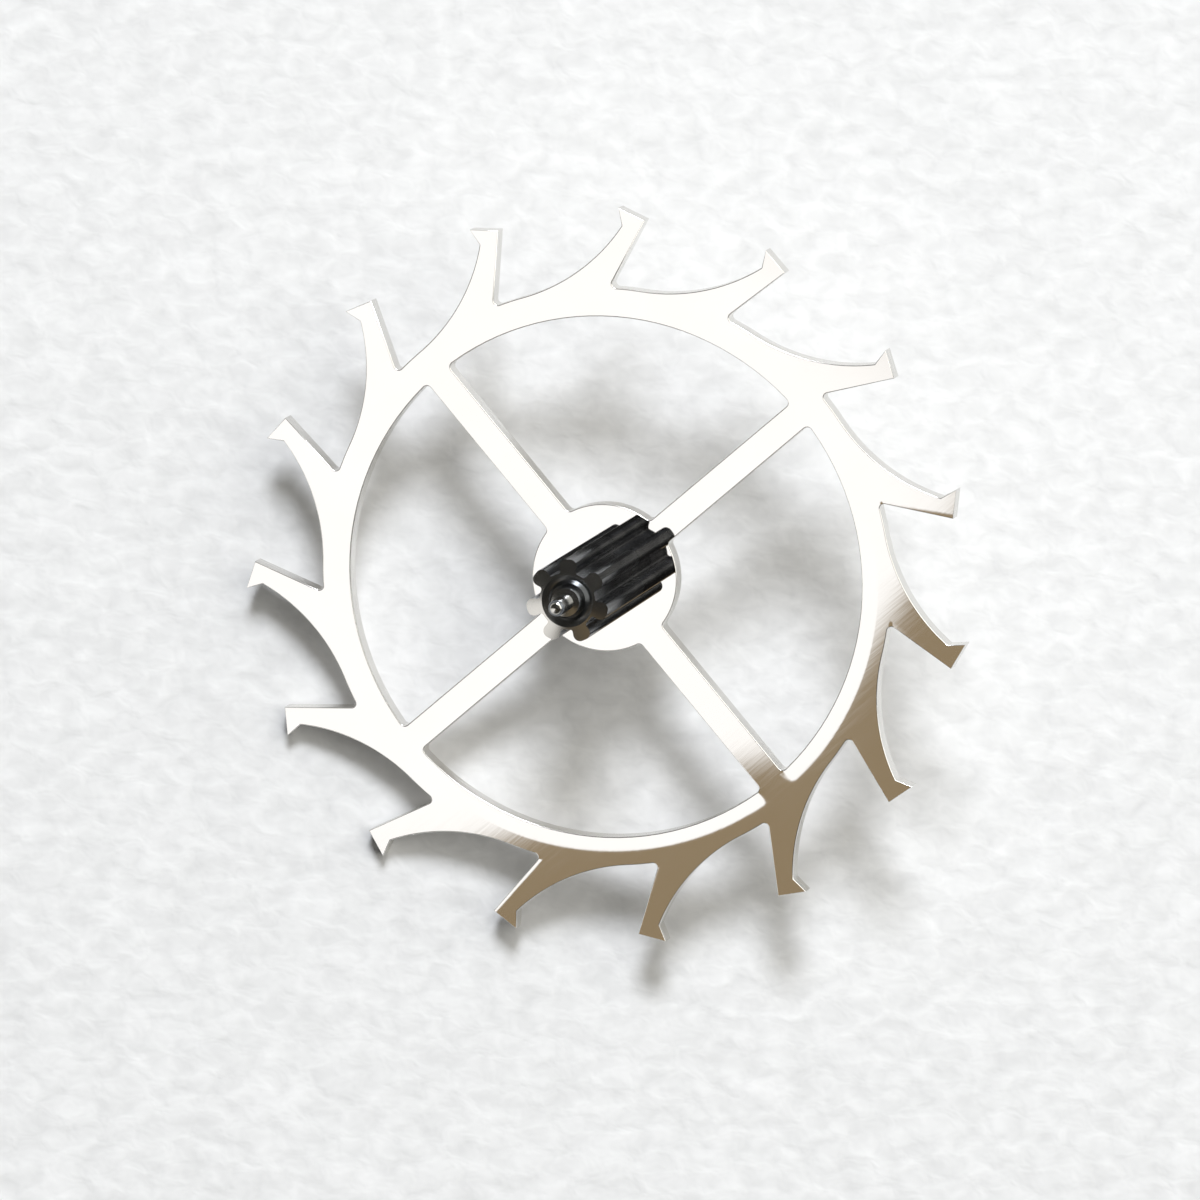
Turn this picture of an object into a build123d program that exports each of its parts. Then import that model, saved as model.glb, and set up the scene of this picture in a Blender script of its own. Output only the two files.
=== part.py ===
from build123d import *
from math import cos, degrees, radians, sin, sqrt
import os

# Escape wheel of a wristwatch, staked on its seven-leaf pinion.
# Millimetres. The arbor stands along Z, with the free end of the pinion up.
# The origin is on the axis, at the shoulder of the lower pivot.
# +X runs along one crossing, and angles go anticlockwise as seen from above.

# Wheel plate
wheel_diameter = 5.0
wheel_thickness = 0.13
tooth_count = 15
tooth_height = 0.54
rim_width = 0.195
hub_diameter = 1.0
crossing_count = 4
crossing_width = 0.19
window_corner_radius = 0.035

# Club teeth: the heel is the outermost corner, and every other angle of a tooth starts there
first_heel_angle = -1.0
impulse_face_angle = 4.3
locking_corner_drop = 0.067
locking_undercut_angle = 21.5
heel_depth = 0.118
heel_overhang = 0.026
back_foot_angle = 18.9
tooth_root_radius = 0.03

# Pinion leaves
leaf_count = 7
first_leaf_angle = -3.5
leaf_tip_diameter = 0.56
leaf_pitch_diameter = 0.46
leaf_root_diameter = 0.38
leaf_thickness = 0.115
leaf_tip_land = 0.045
leaf_length = 1.02
leaf_end_chamfer = 0.03
leaf_fillet_radius = 0.02

# Turned part of the pinion
seat_diameter = 0.36
rivet_diameter = 0.45
rivet_edge_height = 0.012
rivet_cone_height = 0.03
lower_arbor_diameter = 0.30
lower_arbor_length = 0.464
upper_arbor_diameter = 0.23
upper_arbor_length = 0.06
end_recess_diameter = 0.35
end_recess_depth = 0.03
shoulder_diameter = 0.19
shoulder_cone_length = 0.05
pivot_diameter = 0.11
pivot_length = 0.26
pivot_end_radius = 0.03

# Room that cutting solids have beyond the metal
cut_overrun = 0.05

# Radii that the outlines use
tip_radius = wheel_diameter / 2
tooth_foot_radius = tip_radius - tooth_height
rim_inner_radius = tooth_foot_radius - rim_width
hub_radius = hub_diameter / 2
neck_radius = tip_radius - heel_depth
locking_corner_radius = tip_radius - locking_corner_drop
leaf_tip_radius = leaf_tip_diameter / 2
leaf_pitch_radius = leaf_pitch_diameter / 2
leaf_root_radius = leaf_root_diameter / 2
seat_radius = seat_diameter / 2

# Heights along the arbor
wheel_bottom_height = lower_arbor_length
wheel_top_height = wheel_bottom_height + wheel_thickness
leaf_top_height = wheel_top_height + leaf_length
upper_shoulder_height = leaf_top_height + upper_arbor_length

# Steps round the axis
tooth_step = 360 / tooth_count
crossing_step = 360 / crossing_count
leaf_step = 360 / leaf_count


def polar(distance, angle):
    """Point in the plane of the wheel, from its distance to the axis and its angle."""
    return Vector(distance * cos(radians(angle)), distance * sin(radians(angle)))


def arc_angle(length, distance):
    """Angle that a short length spans round the axis."""
    return degrees(length / distance)


def locking_foot(corner_angle):
    """Where the undercut locking face, drawn straight from its corner, meets the foot of the teeth."""
    along = locking_corner_radius * cos(radians(locking_undercut_angle))
    aside = locking_corner_radius * sin(radians(locking_undercut_angle))
    face_length = along - sqrt(tooth_foot_radius**2 - aside**2)
    face_direction = corner_angle + 180 - locking_undercut_angle
    return polar(locking_corner_radius, corner_angle) + polar(face_length, face_direction)


def tooth_edges(heel_angle):
    """Outline from the heel of one tooth to the heel of the next, going anticlockwise."""
    next_heel_angle = heel_angle + tooth_step
    corner_angle = next_heel_angle - impulse_face_angle
    foot_angle = heel_angle + back_foot_angle
    heel = polar(tip_radius, heel_angle)
    neck = polar(neck_radius, heel_angle - arc_angle(heel_overhang, neck_radius))
    back_foot = polar(tooth_foot_radius, foot_angle)
    face_foot = locking_foot(corner_angle)
    corner = polar(locking_corner_radius, corner_angle)
    next_heel = polar(tip_radius, next_heel_angle)
    foot_middle = (back_foot + face_foot).normalized() * tooth_foot_radius
    return [
        Line(heel, neck),
        TangentArc(back_foot, neck, tangent=polar(tip_radius, foot_angle - 90)),
        ThreePointArc(back_foot, foot_middle, face_foot),
        Line(face_foot, corner),
        Line(corner, next_heel),
    ]


def wheel_outline():
    """Face of the whole plate with its club teeth, before the windows are cut."""
    heel_angles = [first_heel_angle + k * tooth_step for k in range(tooth_count)]
    edges = [edge for angle in heel_angles for edge in tooth_edges(angle)]
    plate = make_face(edges)
    feet = [locking_foot(angle - impulse_face_angle) for angle in heel_angles]
    inner_corners = [plate.vertices().sort_by_distance(foot)[0] for foot in feet]
    return fillet(inner_corners, tooth_root_radius)


def crossing_windows():
    """Faces of the windows, between hub and rim and between one crossing and the next."""
    windows = Circle(rim_inner_radius) - Circle(hub_radius)
    for k in range(crossing_count):
        crossing = Pos(rim_inner_radius / 2, 0) * Rectangle(rim_inner_radius, crossing_width)
        windows -= Rot(0, 0, k * crossing_step) * crossing
    return fillet(windows.vertices(), window_corner_radius)


def escape_wheel():
    """Wheel plate: club teeth, rim, crossings, hub and the bore that the pinion's seat fills."""
    plate = extrude(wheel_outline(), wheel_thickness)
    plate -= extrude(crossing_windows(), wheel_thickness)
    plate -= extrude(Circle(seat_radius), wheel_thickness)
    return Pos(0, 0, wheel_bottom_height) * plate


def leaf_edges(leaf_angle):
    """Outline of one leaf and the gap after it: radial flanks, ogive sides and a narrow tip land."""
    half_flank = arc_angle(leaf_thickness, leaf_pitch_diameter)
    half_land = arc_angle(leaf_tip_land, leaf_tip_diameter)
    low_angle = leaf_angle - half_flank
    high_angle = leaf_angle + half_flank
    low_pitch = polar(leaf_pitch_radius, low_angle)
    high_pitch = polar(leaf_pitch_radius, high_angle)
    low_tip = polar(leaf_tip_radius, leaf_angle - half_land)
    high_tip = polar(leaf_tip_radius, leaf_angle + half_land)
    high_root = polar(leaf_root_radius, high_angle)
    gap_middle = polar(leaf_root_radius, leaf_angle + leaf_step / 2)
    next_root = polar(leaf_root_radius, low_angle + leaf_step)
    return [
        Line(polar(leaf_root_radius, low_angle), low_pitch),
        TangentArc(low_pitch, low_tip, tangent=low_pitch),
        ThreePointArc(low_tip, polar(leaf_tip_radius, leaf_angle), high_tip),
        TangentArc(high_pitch, high_tip, tangent=high_pitch),
        Line(high_pitch, high_root),
        ThreePointArc(high_root, gap_middle, next_root),
    ]


def leaf_section():
    """Cross-section of the pinion, with filleted gaps."""
    edges = [edge for k in range(leaf_count) for edge in leaf_edges(first_leaf_angle + k * leaf_step)]
    section = make_face(edges)
    half_flank = arc_angle(leaf_thickness, leaf_pitch_diameter)
    leaf_angles = [first_leaf_angle + k * leaf_step for k in range(leaf_count)]
    feet = [polar(leaf_root_radius, angle + side * half_flank) for angle in leaf_angles for side in (-1, 1)]
    gap_corners = [section.vertices().sort_by_distance(foot)[0] for foot in feet]
    return fillet(gap_corners, leaf_fillet_radius)


def turned(points):
    """Solid of revolution about the arbor, from its half outline as radius and height."""
    half_outline = make_face(Polyline(points, close=True))
    return revolve(Plane.XZ * half_outline, Axis.Z)


def spindle():
    """Lathe-turned body: both pivots and shoulders, the arbor, the rivet lip and the wheel's seat."""
    pivot_radius = pivot_diameter / 2
    shoulder_radius = shoulder_diameter / 2
    lower_radius = lower_arbor_diameter / 2
    upper_radius = upper_arbor_diameter / 2
    rivet_radius = rivet_diameter / 2
    rivet_edge = wheel_bottom_height - rivet_edge_height
    upper_end = upper_shoulder_height + pivot_length
    body = turned(
        [
            (0, -pivot_length),
            (pivot_radius, -pivot_length),
            (pivot_radius, 0),
            (shoulder_radius, 0),
            (lower_radius, shoulder_cone_length),
            (lower_radius, rivet_edge - rivet_cone_height),
            (rivet_radius, rivet_edge),
            (rivet_radius, wheel_bottom_height),
            (seat_radius, wheel_bottom_height),
            (seat_radius, leaf_top_height - end_recess_depth),
            (upper_radius, leaf_top_height - end_recess_depth),
            (upper_radius, upper_shoulder_height - shoulder_cone_length),
            (shoulder_radius, upper_shoulder_height),
            (pivot_radius, upper_shoulder_height),
            (pivot_radius, upper_end),
            (0, upper_end),
        ]
    )
    ends = body.edges().group_by(Axis.Z)
    return fillet(ends[0] + ends[-1], pivot_end_radius)


def end_chamfer():
    """Ring that the lathe takes off the outer corners of the leaves at their free end."""
    chamfer_start = leaf_top_height - leaf_end_chamfer
    return turned(
        [
            (leaf_tip_radius - leaf_end_chamfer - cut_overrun, leaf_top_height + cut_overrun),
            (leaf_tip_radius + cut_overrun, chamfer_start - cut_overrun),
            (leaf_tip_radius + cut_overrun, leaf_top_height + cut_overrun),
        ]
    )


def end_recess():
    """Conical hollow turned in the free end of the leaves, round the upper arbor."""
    recess_radius = end_recess_diameter / 2
    return turned(
        [
            (0, leaf_top_height - end_recess_depth),
            (upper_arbor_diameter / 2, leaf_top_height - end_recess_depth),
            (recess_radius, leaf_top_height),
            (recess_radius, leaf_top_height + cut_overrun),
            (0, leaf_top_height + cut_overrun),
        ]
    )


def escape_pinion():
    """Pinion cut in one piece with its arbor and pivots."""
    leaves = Pos(0, 0, wheel_top_height) * extrude(leaf_section(), leaf_length)
    leaves -= end_chamfer()
    leaves -= end_recess()
    return leaves + spindle()


def main():
    os.makedirs("parts", exist_ok=True)
    pieces = {
        "escape_wheel": escape_wheel(),
        "escape_pinion": escape_pinion(),
    }
    for name, piece in pieces.items():
        piece.label = name
        export_step(piece, f"parts/{name}.step")
        print(name, "volume", round(piece.volume, 6), "box", piece.bounding_box())


main()
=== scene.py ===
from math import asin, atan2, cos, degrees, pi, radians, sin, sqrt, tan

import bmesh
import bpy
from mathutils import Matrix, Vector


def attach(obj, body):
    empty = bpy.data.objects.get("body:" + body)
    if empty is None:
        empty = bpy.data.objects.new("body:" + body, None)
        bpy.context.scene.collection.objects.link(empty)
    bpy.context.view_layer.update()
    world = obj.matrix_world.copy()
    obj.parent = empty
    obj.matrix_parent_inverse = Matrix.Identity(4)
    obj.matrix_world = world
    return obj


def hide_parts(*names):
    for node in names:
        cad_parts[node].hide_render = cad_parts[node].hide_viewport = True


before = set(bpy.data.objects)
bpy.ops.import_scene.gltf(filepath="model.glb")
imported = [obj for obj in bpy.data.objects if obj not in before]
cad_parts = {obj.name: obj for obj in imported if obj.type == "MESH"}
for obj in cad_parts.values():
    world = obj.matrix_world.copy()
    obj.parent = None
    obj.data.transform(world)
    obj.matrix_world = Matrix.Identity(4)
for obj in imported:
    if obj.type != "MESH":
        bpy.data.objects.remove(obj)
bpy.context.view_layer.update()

# %% [markdown]
# # Escape wheel on its pinion
# The object is the escape wheel of a wristwatch, about 5 mm across, seen through a long lens.
# It lies tilted on a sheet of paper: two teeth and the tip of the lower pivot touch the sheet.
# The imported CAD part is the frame. Its two nodes are replaced by finer meshes of the same two pieces,
# because a mesh at 0.01 mm tolerance shows flats on edges that the lens makes 150 pixels per millimetre.
# Sizes are written in millimetres, as on a watch drawing, and one factor turns them to Blender's metres.

MILLIMETRE = 0.001


# %% [markdown]
# ## Sizes of the wheel and the pinion
# These are the sizes that the CAD source names, and one more: the small rounding that lapping leaves on
# the upper edges of the plate. The outermost corner of a tooth is its heel, and every angle of that tooth
# is counted from there. Angles are in degrees, anticlockwise as seen from above.

# %% Sizes in millimetres
TOOTH_COUNT = 15
CROSSING_COUNT = 4
LEAF_COUNT = 7
TIP_RADIUS = 2.5
TOOTH_FOOT_RADIUS = 1.96
RIM_INNER_RADIUS = 1.765
HUB_RADIUS = 0.5
SEAT_RADIUS = 0.18
CROSSING_WIDTH = 0.19
WINDOW_CORNER_RADIUS = 0.035
EDGE_ROUNDING = 0.007
EDGE_STEPS = 3
WHEEL_BOTTOM = 0.464
WHEEL_THICKNESS = 0.13
WHEEL_TOP = WHEEL_BOTTOM + WHEEL_THICKNESS

FIRST_HEEL_ANGLE = -1.0
IMPULSE_FACE_ANGLE = 4.3
LOCKING_CORNER_RADIUS = 2.433
LOCKING_UNDERCUT_ANGLE = 21.5
NECK_RADIUS = 2.382
HEEL_OVERHANG = 0.026
BACK_FOOT_ANGLE = 18.9
TOOTH_ROOT_RADIUS = 0.03

FIRST_LEAF_ANGLE = -3.5
LEAF_TIP_RADIUS = 0.28
LEAF_PITCH_RADIUS = 0.23
LEAF_ROOT_RADIUS = 0.19
LEAF_THICKNESS = 0.115
LEAF_TIP_LAND = 0.045
LEAF_LENGTH = 1.02
LEAF_TOP = WHEEL_TOP + LEAF_LENGTH
LEAF_END_CHAMFER = 0.03
LEAF_FILLET_RADIUS = 0.02
END_RECESS_RADIUS = 0.175
END_RECESS_DEPTH = 0.03

RIVET_RADIUS = 0.225
RIVET_EDGE_HEIGHT = 0.012
RIVET_CONE_HEIGHT = 0.03
LOWER_ARBOR_RADIUS = 0.15
UPPER_ARBOR_RADIUS = 0.115
UPPER_ARBOR_LENGTH = 0.06
SHOULDER_RADIUS = 0.095
SHOULDER_CONE_LENGTH = 0.05
UPPER_SHOULDER = LEAF_TOP + UPPER_ARBOR_LENGTH
PIVOT_RADIUS = 0.055
PIVOT_LENGTH = 0.26
PIVOT_END_RADIUS = 0.03
print("wheel", 2 * TIP_RADIUS, "mm across, top at", WHEEL_TOP, "mm; leaves end at", LEAF_TOP, "mm")

# %% [markdown]
# ## The camera
# The wheel was seen a little from one side, so its circle shows as an ellipse. The tilt is the angle
# between the arbor and the line to the camera. The raised side is where the wheel comes nearest to the
# camera, and the roll is where the +X crossing points. Both are angles in the frame, anticlockwise from
# its right. How far the wheel stands right of the frame's middle, and above it, is counted in pixels.
# A long lens far away keeps the near and far teeth almost the same size. Working out the camera from the
# tilt, the roll and the distance is steadier than dragging it about until the ellipse fits.

# %% Camera from tilt, roll and distance
CAMERA_TILT = radians(16.6)
RAISED_SIDE = radians(32.6)
CROSSING_ROLL = radians(39.7)
CAMERA_DISTANCE = 67.02
NEAREST_SEEN = 5.0
FARTHEST_SEEN = 2000.0
SENSOR_WIDTH = 36
FRAME_SIDE = 1200
PIXELS_PER_RADIAN = 10000
WHEEL_OFF_CENTRE = (4.4, 22.2)

raised = Vector((cos(RAISED_SIDE - CROSSING_ROLL), sin(RAISED_SIDE - CROSSING_ROLL), 0))
across = Vector((-raised.y, raised.x, 0))
arbor = Vector((0, 0, 1))
to_camera = sin(CAMERA_TILT) * raised + cos(CAMERA_TILT) * arbor
leaning = cos(CAMERA_TILT) * raised - sin(CAMERA_TILT) * arbor
frame_right = cos(RAISED_SIDE) * leaning - sin(RAISED_SIDE) * across
frame_up = sin(RAISED_SIDE) * leaning + cos(RAISED_SIDE) * across

wheel_centre = Vector((0, 0, WHEEL_TOP))
pixel = CAMERA_DISTANCE / PIXELS_PER_RADIAN
camera_place = wheel_centre + CAMERA_DISTANCE * to_camera
camera_place -= WHEEL_OFF_CENTRE[0] * pixel * frame_right + WHEEL_OFF_CENTRE[1] * pixel * frame_up

camera_data = bpy.data.cameras.new("long_lens")
camera_data.sensor_width = SENSOR_WIDTH
camera_data.lens = SENSOR_WIDTH * PIXELS_PER_RADIAN / FRAME_SIDE
camera_data.clip_start = NEAREST_SEEN * MILLIMETRE
camera_data.clip_end = FARTHEST_SEEN * MILLIMETRE
camera = bpy.data.objects.new("camera", camera_data)
camera_turn = Matrix((frame_right, frame_up, to_camera)).transposed().to_4x4()
camera.matrix_world = Matrix.Translation(camera_place * MILLIMETRE) @ camera_turn
bpy.context.scene.collection.objects.link(camera)
bpy.context.scene.camera = camera
print("camera", [round(v, 2) for v in camera_place], "mm, lens", round(camera_data.lens, 1), "mm")

# %% [markdown]
# ## A helper for every node
# Geometry and materials are both graphs of nodes. One small function adds a node, sets its properties
# and fills its inputs, either with a value or with the output of an earlier node.

# %% The node helper
def add_node(tree, kind, inputs=None, **settings):
    """Adds one node. inputs maps a socket's name or number to a value, a socket or an earlier node."""
    node = tree.nodes.new(kind)
    for name, value in settings.items():
        setattr(node, name, value)
    for name, value in (inputs or {}).items():
        named = (s for s in node.inputs if s.enabled and s.name == name)
        socket = node.inputs[name] if isinstance(name, int) else next(named)
        if isinstance(value, bpy.types.Node):
            value = next(s for s in value.outputs if s.enabled)
        if isinstance(value, bpy.types.NodeSocket):
            tree.links.new(value, socket)
        else:
            socket.default_value = value
    return node


print("node helper ready")

# %% [markdown]
# ## The outline of one club tooth
# A club tooth has five edges: the impulse face at the tip, the undercut locking face, the foot between
# two teeth, the long hollow back and the short overhang under the heel. The back is one arc that leaves
# the foot without a corner. Drawing lines and arcs from a few points keeps the tooth true to the drawing;
# tracing it as a list of points would hide how it is made.

# %% Points and arcs in the plane of the wheel
ON_ARBOR = Vector((0, 0, 0))


def polar(distance, angle):
    """Point in the plane of the wheel, from its distance to the arbor and its angle in degrees."""
    return Vector((distance * cos(radians(angle)), distance * sin(radians(angle)), 0))


def arc_angle(length, distance):
    """Angle in degrees that a short length spans at a distance from the arbor."""
    return degrees(length / distance)


def short_arc(centre, start, end):
    """Start, middle and end of the short arc from one point to another about its centre."""
    direction = ((start - centre) + (end - centre)).normalized()
    return ("arc", start, centre + direction * (start - centre).length, end)


def tangent_arc(start, end, tangent):
    """Start, middle and end of the arc that leaves start along the tangent."""
    normal = Vector((-tangent.y, tangent.x, 0)).normalized()
    chord = end - start
    centre = start + normal * (chord.length_squared / (2 * normal.dot(chord)))
    return short_arc(centre, start, end)


def round_arc(radius, start_angle, end_angle):
    """Start, middle and end of an arc about the arbor."""
    middle = polar(radius, (start_angle + end_angle) / 2)
    return ("arc", polar(radius, start_angle), middle, polar(radius, end_angle))


print("first heel at", [round(v, 3) for v in polar(TIP_RADIUS, FIRST_HEEL_ANGLE)], "mm")

# %% One tooth, from its heel to the next heel
def tooth_outline(heel_angle):
    """Lines and arcs of one tooth and the gap after it, going anticlockwise."""
    next_heel_angle = heel_angle + 360 / TOOTH_COUNT
    foot_angle = heel_angle + BACK_FOOT_ANGLE
    corner_angle = next_heel_angle - IMPULSE_FACE_ANGLE
    heel = polar(TIP_RADIUS, heel_angle)
    neck = polar(NECK_RADIUS, heel_angle - arc_angle(HEEL_OVERHANG, NECK_RADIUS))
    back_foot = polar(TOOTH_FOOT_RADIUS, foot_angle)
    corner = polar(LOCKING_CORNER_RADIUS, corner_angle)
    back = tangent_arc(back_foot, neck, polar(1, foot_angle - 90))

    # the fillet at the root touches the locking face and the foot, so its centre lies one radius off both
    face = polar(1, corner_angle + 180 - LOCKING_UNDERCUT_ANGLE)
    into_gap = Vector((-face.y, face.x, 0))
    shifted = corner + into_gap * TOOTH_ROOT_RADIUS
    reach = TOOTH_FOOT_RADIUS + TOOTH_ROOT_RADIUS
    along = -shifted.dot(face) - sqrt(shifted.dot(face) ** 2 - shifted.length_squared + reach**2)
    fillet_centre = shifted + face * along
    face_end = corner + face * along
    foot_end = fillet_centre * (TOOTH_FOOT_RADIUS / reach)
    return [
        ("line", heel, neck),
        ("arc", neck, back[2], back_foot),
        short_arc(ON_ARBOR, back_foot, foot_end),
        short_arc(fillet_centre, foot_end, face_end),
        ("line", face_end, corner),
        ("line", corner, polar(TIP_RADIUS, next_heel_angle)),
    ]


tooth = tooth_outline(FIRST_HEEL_ANGLE)
print("tooth outline:", [(piece[0], round((piece[-1] - piece[1]).length, 3)) for piece in tooth])

# %% [markdown]
# ## The outline of one window
# Four windows leave the four crossings between the hub and the rim. Their corners are milled round.
# Each window is symmetric about its own middle, which stands at 45 degrees from the crossing beside it.
# A mirror across that line swaps x and y, so only half of the points are worked out.

# %% One window, between the first crossing and the second
def window_outline():
    """Lines and arcs of the window that starts at the +X crossing."""
    side = CROSSING_WIDTH / 2
    corner = WINDOW_CORNER_RADIUS
    middle_angle = 180 / CROSSING_COUNT

    def mirrored(point):
        return Vector((point.y, point.x, 0))

    hub_centre = Vector((sqrt((HUB_RADIUS + corner) ** 2 - (side + corner) ** 2), side + corner, 0))
    rim_centre = Vector((sqrt((RIM_INNER_RADIUS - corner) ** 2 - (side + corner) ** 2), side + corner, 0))
    hub_touch = hub_centre * (HUB_RADIUS / (HUB_RADIUS + corner))
    rim_touch = rim_centre * (RIM_INNER_RADIUS / (RIM_INNER_RADIUS - corner))
    hub_side = Vector((hub_centre.x, side, 0))
    rim_side = Vector((rim_centre.x, side, 0))
    return [
        short_arc(hub_centre, hub_touch, hub_side),
        ("line", hub_side, rim_side),
        short_arc(rim_centre, rim_side, rim_touch),
        ("arc", rim_touch, polar(RIM_INNER_RADIUS, middle_angle), mirrored(rim_touch)),
        short_arc(mirrored(rim_centre), mirrored(rim_touch), mirrored(rim_side)),
        ("line", mirrored(rim_side), mirrored(hub_side)),
        short_arc(mirrored(hub_centre), mirrored(hub_side), mirrored(hub_touch)),
        ("arc", mirrored(hub_touch), polar(HUB_RADIUS, middle_angle), hub_touch),
    ]


window = window_outline()
print("window outline:", len(window), "pieces")

# %% [markdown]
# ## The wheel plate as a node tree
# The plate is punched and milled from one strip of steel, so one flat outline gives its whole shape.
# The tree draws the lines and arcs of one tooth and one window, repeats them round the arbor, welds
# their ends, fills the flat face and pushes it up by the thickness of the plate. Repeating in the tree
# keeps all fifteen teeth alike, and the count stays one number.
# The last steps of the rise are short and draw inwards, because lapping rounds every upper edge a little.

# %% Helpers that draw an outline and repeat it round the arbor
def join(tree, *shapes):
    """Joins several shapes in one."""
    joined = add_node(tree, "GeometryNodeJoinGeometry")
    for shape in shapes:
        tree.links.new(shape.outputs[0], joined.inputs["Geometry"])
    return joined


def draw_outline(tree, outline, steps):
    """Adds one curve node for each line or arc of an outline and joins them."""
    drawn = []
    for piece in outline:
        if piece[0] == "line":
            ends = {"Start": piece[1], "End": piece[2]}
            drawn.append(add_node(tree, "GeometryNodeCurvePrimitiveLine", ends, mode="POINTS"))
        else:
            points = {"Start": piece[1], "Middle": piece[2], "End": piece[3], "Resolution": steps}
            drawn.append(add_node(tree, "GeometryNodeCurveArc", points, mode="POINTS"))
    return join(tree, *drawn)


def repeat_round(tree, shape, count):
    """Puts count copies of a shape round the arbor and makes them real."""
    places = add_node(tree, "GeometryNodePoints", {"Count": count})
    index = add_node(tree, "GeometryNodeInputIndex")
    step = add_node(tree, "ShaderNodeMath", {0: 2 * pi, 1: count}, operation="DIVIDE")
    angle = add_node(tree, "ShaderNodeMath", {0: index, 1: step}, operation="MULTIPLY")
    turn = add_node(tree, "ShaderNodeCombineXYZ", {"Z": angle})
    copies = {"Points": places, "Instance": shape, "Rotation": turn}
    round_arbor = add_node(tree, "GeometryNodeInstanceOnPoints", copies)
    return add_node(tree, "GeometryNodeRealizeInstances", {"Geometry": round_arbor})


print("outline helpers ready")

# %% Helpers that fill an outline and raise it to a solid
# points closer than these are one point, and every edge that the outlines draw is longer
OUTLINE_WELD = 0.0005
SOLID_WELD = 0.0002


def round_upper_edge(tree, prism, rounding):
    """Raises the top face in a few short steps and draws it in, along a quarter circle."""
    normal = add_node(tree, "GeometryNodeInputNormal")
    outward = add_node(tree, "ShaderNodeVectorMath", {0: normal, 1: (1.0, 1.0, 0.0)}, operation="MULTIPLY")
    unit = add_node(tree, "ShaderNodeVectorMath", {0: outward}, operation="NORMALIZE")
    kept = {"Geometry": prism.outputs["Mesh"], "Name": "outward", "Value": unit}
    noted = add_node(tree, "GeometryNodeStoreNamedAttribute", kept, data_type="FLOAT_VECTOR", domain="POINT")
    name = {"Name": "outward"}
    recalled = add_node(tree, "GeometryNodeInputNamedAttribute", name, data_type="FLOAT_VECTOR")
    mesh, top = noted.outputs["Geometry"], prism.outputs["Top"]
    for step in range(EDGE_STEPS):
        low, high = step * pi / (2 * EDGE_STEPS), (step + 1) * pi / (2 * EDGE_STEPS)
        rise = add_node(tree, "ShaderNodeMath", {0: rounding, 1: sin(high) - sin(low)}, operation="MULTIPLY")
        pull = add_node(tree, "ShaderNodeMath", {0: rounding, 1: cos(high) - cos(low)}, operation="MULTIPLY")
        up = add_node(tree, "ShaderNodeCombineXYZ", {"Z": rise})
        push = {"Mesh": mesh, "Selection": top, "Offset": up, "Individual": False}
        stepped = add_node(tree, "GeometryNodeExtrudeMesh", push)
        inward = add_node(tree, "ShaderNodeVectorMath", {0: recalled, "Scale": pull}, operation="SCALE")
        top = stepped.outputs["Top"]
        narrow = {"Geometry": stepped.outputs["Mesh"], "Selection": top, "Offset": inward}
        drawn_in = add_node(tree, "GeometryNodeSetPosition", narrow)
        mesh = drawn_in.outputs["Geometry"]
    return drawn_in


def fill_and_raise(tree, outlines, height, rounding=None):
    """Welds the outlines, fills the metal between them and raises it to a closed prism."""
    wire = add_node(tree, "GeometryNodeCurveToMesh", {"Curve": outlines})
    weld = add_node(tree, "GeometryNodeMergeByDistance", {"Geometry": wire, "Distance": OUTLINE_WELD})
    loops = add_node(tree, "GeometryNodeMeshToCurve", {"Mesh": weld})
    face = add_node(tree, "GeometryNodeFillCurve", {"Curve": loops}, mode="NGONS")
    straight = add_node(tree, "ShaderNodeMath", {0: height, 1: rounding or 0.0}, operation="SUBTRACT")
    up = add_node(tree, "ShaderNodeCombineXYZ", {"Z": straight})
    prism = add_node(tree, "GeometryNodeExtrudeMesh", {"Mesh": face, "Offset": up, "Individual": False})
    raised_top = round_upper_edge(tree, prism, rounding) if rounding else prism
    underside = add_node(tree, "GeometryNodeFlipFaces", {"Mesh": face})
    closed = {"Geometry": join(tree, raised_top, underside), "Distance": SOLID_WELD}
    return add_node(tree, "GeometryNodeMergeByDistance", closed)


print("the upper edge is rounded by", EDGE_ROUNDING, "mm in", EDGE_STEPS, "steps")

# %% Start and end of every tree, and the run that makes a piece
def new_tree(name, sizes):
    """A geometry tree with one named input for each size; whole numbers become integer inputs."""
    tree = bpy.data.node_groups.new(name, "GeometryNodeTree")
    tree.interface.new_socket("Geometry", in_out="OUTPUT", socket_type="NodeSocketGeometry")
    for label, value in sizes.items():
        kind = "NodeSocketInt" if isinstance(value, int) else "NodeSocketFloat"
        tree.interface.new_socket(label, in_out="INPUT", socket_type=kind)
    return tree, add_node(tree, "NodeGroupInput").outputs


def end_tree(tree, shape, material):
    """Turns millimetres to metres and gives the piece its material."""
    scaled = add_node(tree, "GeometryNodeTransform", {"Geometry": shape, "Scale": [MILLIMETRE] * 3})
    real = add_node(tree, "GeometryNodeRealizeInstances", {"Geometry": scaled})
    dressed = add_node(tree, "GeometryNodeSetMaterial", {"Geometry": real, "Material": material})
    add_node(tree, "NodeGroupOutput", {"Geometry": dressed})


def grow_piece(name, tree, sizes, material):
    """Runs a tree on an empty mesh and keeps the plain result."""
    piece = bpy.data.objects.new(name, bpy.data.meshes.new(name))
    bpy.context.scene.collection.objects.link(piece)
    grower = piece.modifiers.new("grow", "NODES")
    grower.node_group = tree
    for item in tree.interface.items_tree:
        if item.in_out == "INPUT" and item.name in sizes:
            grower[item.identifier] = sizes[item.name]
    ready = piece.evaluated_get(bpy.context.evaluated_depsgraph_get())
    mesh = bpy.data.meshes.new_from_object(ready)
    piece.modifiers.clear()
    mesh.materials.clear()
    mesh.materials.append(material)
    piece.data = mesh
    return piece


print("tree helpers ready")

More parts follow.
